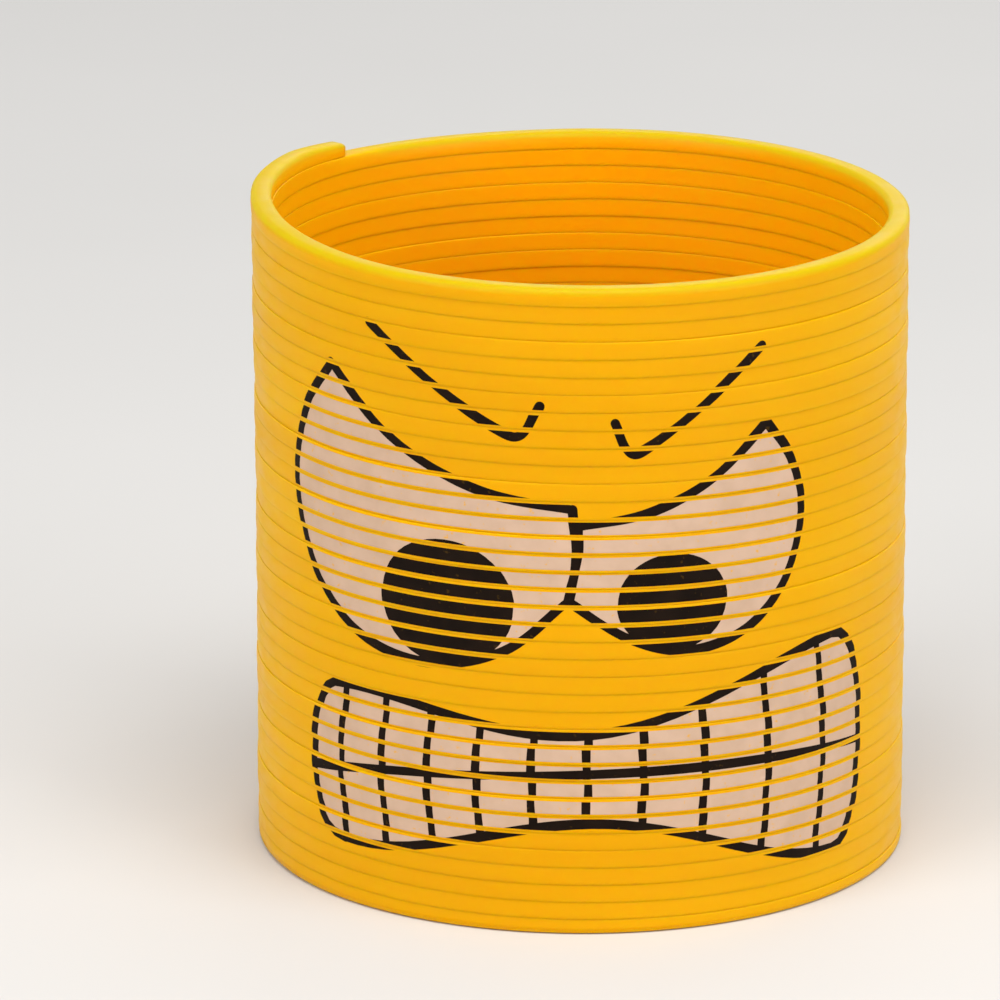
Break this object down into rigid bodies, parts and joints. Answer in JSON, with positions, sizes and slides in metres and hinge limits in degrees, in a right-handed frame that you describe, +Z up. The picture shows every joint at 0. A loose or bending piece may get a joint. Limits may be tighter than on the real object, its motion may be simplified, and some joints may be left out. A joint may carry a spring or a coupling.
{
  "type": "spring coil toy",
  "caption": "Plastic helical coil toy, shown closed: a flat strip wound in touching turns that stretch apart and arch over, with a cartoon face printed across the front.",
  "frame": {"origin": "centre of the coil's axis on the surface it stands on", "axes": "+Z up along the coil's axis, -Y the front with the printed face, +X the side that the coil arches over"},
  "size_m": [0.075, 0.075, 0.0761],
  "materials": {
    "coil_plastic": "satin, slightly translucent orange-yellow plastic; black and pinkish-beige ink on the outer face of the front"
  },
  "bodies": {
    "bottom_coils": {"bottom_coils": "coil_plastic"},
    "turn_01": {"turn_01": "coil_plastic"},
    "link_01": {"link_01": "coil_plastic"},
    "turn_02": {"turn_02": "coil_plastic"},
    "link_02": {"link_02": "coil_plastic"},
    "turn_03": {"turn_03": "coil_plastic"},
    "link_03": {"link_03": "coil_plastic"},
    "turn_04": {"turn_04": "coil_plastic"},
    "link_04": {"link_04": "coil_plastic"},
    "turn_05": {"turn_05": "coil_plastic"},
    "link_05": {"link_05": "coil_plastic"},
    "turn_06": {"turn_06": "coil_plastic"},
    "link_06": {"link_06": "coil_plastic"},
    "turn_07": {"turn_07": "coil_plastic"},
    "link_07": {"link_07": "coil_plastic"},
    "turn_08": {"turn_08": "coil_plastic"},
    "link_08": {"link_08": "coil_plastic"},
    "turn_09": {"turn_09": "coil_plastic"},
    "link_09": {"link_09": "coil_plastic"},
    "turn_10": {"turn_10": "coil_plastic"},
    "link_10": {"link_10": "coil_plastic"},
    "turn_11": {"turn_11": "coil_plastic"},
    "link_11": {"link_11": "coil_plastic"},
    "turn_12": {"turn_12": "coil_plastic"},
    "link_12": {"link_12": "coil_plastic"},
    "turn_13": {"turn_13": "coil_plastic"},
    "link_13": {"link_13": "coil_plastic"},
    "turn_14": {"turn_14": "coil_plastic"},
    "link_14": {"link_14": "coil_plastic"},
    "turn_15": {"turn_15": "coil_plastic"},
    "link_15": {"link_15": "coil_plastic"},
    "turn_16": {"turn_16": "coil_plastic"},
    "link_16": {"link_16": "coil_plastic"},
    "turn_17": {"turn_17": "coil_plastic"},
    "link_17": {"link_17": "coil_plastic"},
    "turn_18": {"turn_18": "coil_plastic"},
    "link_18": {"link_18": "coil_plastic"},
    "turn_19": {"turn_19": "coil_plastic"},
    "link_19": {"link_19": "coil_plastic"},
    "turn_20": {"turn_20": "coil_plastic"},
    "link_20": {"link_20": "coil_plastic"},
    "turn_21": {"turn_21": "coil_plastic"},
    "link_21": {"link_21": "coil_plastic"},
    "turn_22": {"turn_22": "coil_plastic"},
    "link_22": {"link_22": "coil_plastic"},
    "turn_23": {"turn_23": "coil_plastic"},
    "link_23": {"link_23": "coil_plastic"},
    "turn_24": {"turn_24": "coil_plastic"},
    "link_24": {"link_24": "coil_plastic"},
    "turn_25": {"turn_25": "coil_plastic"},
    "link_25": {"link_25": "coil_plastic"},
    "turn_26": {"turn_26": "coil_plastic"},
    "link_26": {"link_26": "coil_plastic"},
    "turn_27": {"turn_27": "coil_plastic"},
    "link_27": {"link_27": "coil_plastic"},
    "turn_28": {"turn_28": "coil_plastic"},
    "link_28": {"link_28": "coil_plastic"},
    "top_coils": {"top_coils": "coil_plastic"}
  },
  "joints": [
    {"name": "stretch_01", "type": "slide", "parent": "bottom_coils", "child": "turn_01", "axis": [0, 0, 1], "range_m": [0, 0.012], "stiffness_N_per_m": 7, "springref_m": 0.04736},
    {"name": "bend_01", "type": "hinge", "parent": "turn_01", "child": "link_01", "pos_m": [0.0375, 0, 0.00945], "axis": [0, 1, 0], "range_deg": [0, 6.4], "stiffness_Nm_per_rad": 0.012, "springref_deg": 57.83},
    {"name": "stretch_02", "type": "slide", "parent": "link_01", "child": "turn_02", "axis": [0, 0, 1], "range_m": [0, 0.012], "stiffness_N_per_m": 7, "springref_m": 0.0459},
    {"name": "bend_02", "type": "hinge", "parent": "turn_02", "child": "link_02", "pos_m": [0.0375, 0, 0.0115], "axis": [0, 1, 0], "range_deg": [0, 6.4], "stiffness_Nm_per_rad": 0.012, "springref_deg": 56.01},
    {"name": "stretch_03", "type": "slide", "parent": "link_02", "child": "turn_03", "axis": [0, 0, 1], "range_m": [0, 0.012], "stiffness_N_per_m": 7, "springref_m": 0.04445},
    {"name": "bend_03", "type": "hinge", "parent": "turn_03", "child": "link_03", "pos_m": [0.0375, 0, 0.01355], "axis": [0, 1, 0], "range_deg": [0, 6.4], "stiffness_Nm_per_rad": 0.012, "springref_deg": 54.18},
    {"name": "stretch_04", "type": "slide", "parent": "link_03", "child": "turn_04", "axis": [0, 0, 1], "range_m": [0, 0.012], "stiffness_N_per_m": 7, "springref_m": 0.043},
    {"name": "bend_04", "type": "hinge", "parent": "turn_04", "child": "link_04", "pos_m": [0.0375, 0, 0.0156], "axis": [0, 1, 0], "range_deg": [0, 6.4], "stiffness_Nm_per_rad": 0.012, "springref_deg": 52.36},
    {"name": "stretch_05", "type": "slide", "parent": "link_04", "child": "turn_05", "axis": [0, 0, 1], "range_m": [0, 0.012], "stiffness_N_per_m": 7, "springref_m": 0.04154},
    {"name": "bend_05", "type": "hinge", "parent": "turn_05", "child": "link_05", "pos_m": [0.0375, 0, 0.01765], "axis": [0, 1, 0], "range_deg": [0, 6.4], "stiffness_Nm_per_rad": 0.012, "springref_deg": 50.53},
    {"name": "stretch_06", "type": "slide", "parent": "link_05", "child": "turn_06", "axis": [0, 0, 1], "range_m": [0, 0.012], "stiffness_N_per_m": 7, "springref_m": 0.04009},
    {"name": "bend_06", "type": "hinge", "parent": "turn_06", "child": "link_06", "pos_m": [0.0375, 0, 0.0197], "axis": [0, 1, 0], "range_deg": [0, 6.4], "stiffness_Nm_per_rad": 0.012, "springref_deg": 48.71},
    {"name": "stretch_07", "type": "slide", "parent": "link_06", "child": "turn_07", "axis": [0, 0, 1], "range_m": [0, 0.012], "stiffness_N_per_m": 7, "springref_m": 0.03863},
    {"name": "bend_07", "type": "hinge", "parent": "turn_07", "child": "link_07", "pos_m": [0.0375, 0, 0.02175], "axis": [0, 1, 0], "range_deg": [0, 6.4], "stiffness_Nm_per_rad": 0.012, "springref_deg": 46.89},
    {"name": "stretch_08", "type": "slide", "parent": "link_07", "child": "turn_08", "axis": [0, 0, 1], "range_m": [0, 0.012], "stiffness_N_per_m": 7, "springref_m": 0.03718},
    {"name": "bend_08", "type": "hinge", "parent": "turn_08", "child": "link_08", "pos_m": [0.0375, 0, 0.0238], "axis": [0, 1, 0], "range_deg": [0, 6.4], "stiffness_Nm_per_rad": 0.012, "springref_deg": 45.06},
    {"name": "stretch_09", "type": "slide", "parent": "link_08", "child": "turn_09", "axis": [0, 0, 1], "range_m": [0, 0.012], "stiffness_N_per_m": 7, "springref_m": 0.03572},
    {"name": "bend_09", "type": "hinge", "parent": "turn_09", "child": "link_09", "pos_m": [0.0375, 0, 0.02585], "axis": [0, 1, 0], "range_deg": [0, 6.4], "stiffness_Nm_per_rad": 0.012, "springref_deg": 43.24},
    {"name": "stretch_10", "type": "slide", "parent": "link_09", "child": "turn_10", "axis": [0, 0, 1], "range_m": [0, 0.012], "stiffness_N_per_m": 7, "springref_m": 0.03427},
    {"name": "bend_10", "type": "hinge", "parent": "turn_10", "child": "link_10", "pos_m": [0.0375, 0, 0.0279], "axis": [0, 1, 0], "range_deg": [0, 6.4], "stiffness_Nm_per_rad": 0.012, "springref_deg": 41.41},
    {"name": "stretch_11", "type": "slide", "parent": "link_10", "child": "turn_11", "axis": [0, 0, 1], "range_m": [0, 0.012], "stiffness_N_per_m": 7, "springref_m": 0.03282},
    {"name": "bend_11", "type": "hinge", "parent": "turn_11", "child": "link_11", "pos_m": [0.0375, 0, 0.02995], "axis": [0, 1, 0], "range_deg": [0, 6.4], "stiffness_Nm_per_rad": 0.012, "springref_deg": 39.59},
    {"name": "stretch_12", "type": "slide", "parent": "link_11", "child": "turn_12", "axis": [0, 0, 1], "range_m": [0, 0.012], "stiffness_N_per_m": 7, "springref_m": 0.03136},
    {"name": "bend_12", "type": "hinge", "parent": "turn_12", "child": "link_12", "pos_m": [0.0375, 0, 0.032], "axis": [0, 1, 0], "range_deg": [0, 6.4], "stiffness_Nm_per_rad": 0.012, "springref_deg": 37.76},
    {"name": "stretch_13", "type": "slide", "parent": "link_12", "child": "turn_13", "axis": [0, 0, 1], "range_m": [0, 0.012], "stiffness_N_per_m": 7, "springref_m": 0.02991},
    {"name": "bend_13", "type": "hinge", "parent": "turn_13", "child": "link_13", "pos_m": [0.0375, 0, 0.03405], "axis": [0, 1, 0], "range_deg": [0, 6.4], "stiffness_Nm_per_rad": 0.012, "springref_deg": 35.94},
    {"name": "stretch_14", "type": "slide", "parent": "link_13", "child": "turn_14", "axis": [0, 0, 1], "range_m": [0, 0.012], "stiffness_N_per_m": 7, "springref_m": 0.02845},
    {"name": "bend_14", "type": "hinge", "parent": "turn_14", "child": "link_14", "pos_m": [0.0375, 0, 0.0361], "axis": [0, 1, 0], "range_deg": [0, 6.4], "stiffness_Nm_per_rad": 0.012, "springref_deg": 34.11},
    {"name": "stretch_15", "type": "slide", "parent": "link_14", "child": "turn_15", "axis": [0, 0, 1], "range_m": [0, 0.012], "stiffness_N_per_m": 7, "springref_m": 0.027},
    {"name": "bend_15", "type": "hinge", "parent": "turn_15", "child": "link_15", "pos_m": [0.0375, 0, 0.03815], "axis": [0, 1, 0], "range_deg": [0, 6.4], "stiffness_Nm_per_rad": 0.012, "springref_deg": 32.29},
    {"name": "stretch_16", "type": "slide", "parent": "link_15", "child": "turn_16", "axis": [0, 0, 1], "range_m": [0, 0.012], "stiffness_N_per_m": 7, "springref_m": 0.02554},
    {"name": "bend_16", "type": "hinge", "parent": "turn_16", "child": "link_16", "pos_m": [0.0375, 0, 0.0402], "axis": [0, 1, 0], "range_deg": [0, 6.4], "stiffness_Nm_per_rad": 0.012, "springref_deg": 30.46},
    {"name": "stretch_17", "type": "slide", "parent": "link_16", "child": "turn_17", "axis": [0, 0, 1], "range_m": [0, 0.012], "stiffness_N_per_m": 7, "springref_m": 0.02409},
    {"name": "bend_17", "type": "hinge", "parent": "turn_17", "child": "link_17", "pos_m": [0.0375, 0, 0.04225], "axis": [0, 1, 0], "range_deg": [0, 6.4], "stiffness_Nm_per_rad": 0.012, "springref_deg": 28.64},
    {"name": "stretch_18", "type": "slide", "parent": "link_17", "child": "turn_18", "axis": [0, 0, 1], "range_m": [0, 0.012], "stiffness_N_per_m": 7, "springref_m": 0.02264},
    {"name": "bend_18", "type": "hinge", "parent": "turn_18", "child": "link_18", "pos_m": [0.0375, 0, 0.0443], "axis": [0, 1, 0], "range_deg": [0, 6.4], "stiffness_Nm_per_rad": 0.012, "springref_deg": 26.81},
    {"name": "stretch_19", "type": "slide", "parent": "link_18", "child": "turn_19", "axis": [0, 0, 1], "range_m": [0, 0.012], "stiffness_N_per_m": 7, "springref_m": 0.02118},
    {"name": "bend_19", "type": "hinge", "parent": "turn_19", "child": "link_19", "pos_m": [0.0375, 0, 0.04635], "axis": [0, 1, 0], "range_deg": [0, 6.4], "stiffness_Nm_per_rad": 0.012, "springref_deg": 24.99},
    {"name": "stretch_20", "type": "slide", "parent": "link_19", "child": "turn_20", "axis": [0, 0, 1], "range_m": [0, 0.012], "stiffness_N_per_m": 7, "springref_m": 0.01973},
    {"name": "bend_20", "type": "hinge", "parent": "turn_20", "child": "link_20", "pos_m": [0.0375, 0, 0.0484], "axis": [0, 1, 0], "range_deg": [0, 6.4], "stiffness_Nm_per_rad": 0.012, "springref_deg": 23.16},
    {"name": "stretch_21", "type": "slide", "parent": "link_20", "child": "turn_21", "axis": [0, 0, 1], "range_m": [0, 0.012], "stiffness_N_per_m": 7, "springref_m": 0.01827},
    {"name": "bend_21", "type": "hinge", "parent": "turn_21", "child": "link_21", "pos_m": [0.0375, 0, 0.05045], "axis": [0, 1, 0], "range_deg": [0, 6.4], "stiffness_Nm_per_rad": 0.012, "springref_deg": 21.34},
    {"name": "stretch_22", "type": "slide", "parent": "link_21", "child": "turn_22", "axis": [0, 0, 1], "range_m": [0, 0.012], "stiffness_N_per_m": 7, "springref_m": 0.01682},
    {"name": "bend_22", "type": "hinge", "parent": "turn_22", "child": "link_22", "pos_m": [0.0375, 0, 0.0525], "axis": [0, 1, 0], "range_deg": [0, 6.4], "stiffness_Nm_per_rad": 0.012, "springref_deg": 19.51},
    {"name": "stretch_23", "type": "slide", "parent": "link_22", "child": "turn_23", "axis": [0, 0, 1], "range_m": [0, 0.012], "stiffness_N_per_m": 7, "springref_m": 0.01536},
    {"name": "bend_23", "type": "hinge", "parent": "turn_23", "child": "link_23", "pos_m": [0.0375, 0, 0.05455], "axis": [0, 1, 0], "range_deg": [0, 6.4], "stiffness_Nm_per_rad": 0.012, "springref_deg": 17.69},
    {"name": "stretch_24", "type": "slide", "parent": "link_23", "child": "turn_24", "axis": [0, 0, 1], "range_m": [0, 0.012], "stiffness_N_per_m": 7, "springref_m": 0.01391},
    {"name": "bend_24", "type": "hinge", "parent": "turn_24", "child": "link_24", "pos_m": [0.0375, 0, 0.0566], "axis": [0, 1, 0], "range_deg": [0, 6.4], "stiffness_Nm_per_rad": 0.012, "springref_deg": 15.87},
    {"name": "stretch_25", "type": "slide", "parent": "link_24", "child": "turn_25", "axis": [0, 0, 1], "range_m": [0, 0.012], "stiffness_N_per_m": 7, "springref_m": 0.01245},
    {"name": "bend_25", "type": "hinge", "parent": "turn_25", "child": "link_25", "pos_m": [0.0375, 0, 0.05865], "axis": [0, 1, 0], "range_deg": [0, 6.4], "stiffness_Nm_per_rad": 0.012, "springref_deg": 14.04},
    {"name": "stretch_26", "type": "slide", "parent": "link_25", "child": "turn_26", "axis": [0, 0, 1], "range_m": [0, 0.012], "stiffness_N_per_m": 7, "springref_m": 0.011},
    {"name": "bend_26", "type": "hinge", "parent": "turn_26", "child": "link_26", "pos_m": [0.0375, 0, 0.0607], "axis": [0, 1, 0], "range_deg": [0, 6.4], "stiffness_Nm_per_rad": 0.012, "springref_deg": 12.22},
    {"name": "stretch_27", "type": "slide", "parent": "link_26", "child": "turn_27", "axis": [0, 0, 1], "range_m": [0, 0.012], "stiffness_N_per_m": 7, "springref_m": 0.00955},
    {"name": "bend_27", "type": "hinge", "parent": "turn_27", "child": "link_27", "pos_m": [0.0375, 0, 0.06275], "axis": [0, 1, 0], "range_deg": [0, 6.4], "stiffness_Nm_per_rad": 0.012, "springref_deg": 10.39},
    {"name": "stretch_28", "type": "slide", "parent": "link_27", "child": "turn_28", "axis": [0, 0, 1], "range_m": [0, 0.012], "stiffness_N_per_m": 7, "springref_m": 0.00809},
    {"name": "bend_28", "type": "hinge", "parent": "turn_28", "child": "link_28", "pos_m": [0.0375, 0, 0.0648], "axis": [0, 1, 0], "range_deg": [0, 6.4], "stiffness_Nm_per_rad": 0.012, "springref_deg": 8.57},
    {"name": "stretch_29", "type": "slide", "parent": "link_28", "child": "top_coils", "axis": [0, 0, 1], "range_m": [0, 0.012], "stiffness_N_per_m": 7, "springref_m": 0.00664}
  ],
  "couplings": [
    {"joint": "stretch_02", "follows": "stretch_01", "ratio": 1},
    {"joint": "bend_02", "follows": "bend_01", "ratio": 1},
    {"joint": "stretch_03", "follows": "stretch_01", "ratio": 1},
    {"joint": "bend_03", "follows": "bend_01", "ratio": 1},
    {"joint": "stretch_04", "follows": "stretch_01", "ratio": 1},
    {"joint": "bend_04", "follows": "bend_01", "ratio": 1},
    {"joint": "stretch_05", "follows": "stretch_01", "ratio": 1},
    {"joint": "bend_05", "follows": "bend_01", "ratio": 1},
    {"joint": "stretch_06", "follows": "stretch_01", "ratio": 1},
    {"joint": "bend_06", "follows": "bend_01", "ratio": 1},
    {"joint": "stretch_07", "follows": "stretch_01", "ratio": 1},
    {"joint": "bend_07", "follows": "bend_01", "ratio": 1},
    {"joint": "stretch_08", "follows": "stretch_01", "ratio": 1},
    {"joint": "bend_08", "follows": "bend_01", "ratio": 1},
    {"joint": "stretch_09", "follows": "stretch_01", "ratio": 1},
    {"joint": "bend_09", "follows": "bend_01", "ratio": 1},
    {"joint": "stretch_10", "follows": "stretch_01", "ratio": 1},
    {"joint": "bend_10", "follows": "bend_01", "ratio": 1},
    {"joint": "stretch_11", "follows": "stretch_01", "ratio": 1},
    {"joint": "bend_11", "follows": "bend_01", "ratio": 1},
    {"joint": "stretch_12", "follows": "stretch_01", "ratio": 1},
    {"joint": "bend_12", "follows": "bend_01", "ratio": 1},
    {"joint": "stretch_13", "follows": "stretch_01", "ratio": 1},
    {"joint": "bend_13", "follows": "bend_01", "ratio": 1},
    {"joint": "stretch_14", "follows": "stretch_01", "ratio": 1},
    {"joint": "bend_14", "follows": "bend_01", "ratio": 1},
    {"joint": "stretch_15", "follows": "stretch_01", "ratio": 1},
    {"joint": "bend_15", "follows": "bend_01", "ratio": 1},
    {"joint": "stretch_16", "follows": "stretch_01", "ratio": 1},
    {"joint": "bend_16", "follows": "bend_01", "ratio": 1},
    {"joint": "stretch_17", "follows": "stretch_01", "ratio": 1},
    {"joint": "bend_17", "follows": "bend_01", "ratio": 1},
    {"joint": "stretch_18", "follows": "stretch_01", "ratio": 1},
    {"joint": "bend_18", "follows": "bend_01", "ratio": 1},
    {"joint": "stretch_19", "follows": "stretch_01", "ratio": 1},
    {"joint": "bend_19", "follows": "bend_01", "ratio": 1},
    {"joint": "stretch_20", "follows": "stretch_01", "ratio": 1},
    {"joint": "bend_20", "follows": "bend_01", "ratio": 1},
    {"joint": "stretch_21", "follows": "stretch_01", "ratio": 1},
    {"joint": "bend_21", "follows": "bend_01", "ratio": 1},
    {"joint": "stretch_22", "follows": "stretch_01", "ratio": 1},
    {"joint": "bend_22", "follows": "bend_01", "ratio": 1},
    {"joint": "stretch_23", "follows": "stretch_01", "ratio": 1},
    {"joint": "bend_23", "follows": "bend_01", "ratio": 1},
    {"joint": "stretch_24", "follows": "stretch_01", "ratio": 1},
    {"joint": "bend_24", "follows": "bend_01", "ratio": 1},
    {"joint": "stretch_25", "follows": "stretch_01", "ratio": 1},
    {"joint": "bend_25", "follows": "bend_01", "ratio": 1},
    {"joint": "stretch_26", "follows": "stretch_01", "ratio": 1},
    {"joint": "bend_26", "follows": "bend_01", "ratio": 1},
    {"joint": "stretch_27", "follows": "stretch_01", "ratio": 1},
    {"joint": "bend_27", "follows": "bend_01", "ratio": 1},
    {"joint": "stretch_28", "follows": "stretch_01", "ratio": 1},
    {"joint": "bend_28", "follows": "bend_01", "ratio": 1},
    {"joint": "stretch_29", "follows": "stretch_01", "ratio": 1}
  ]
}
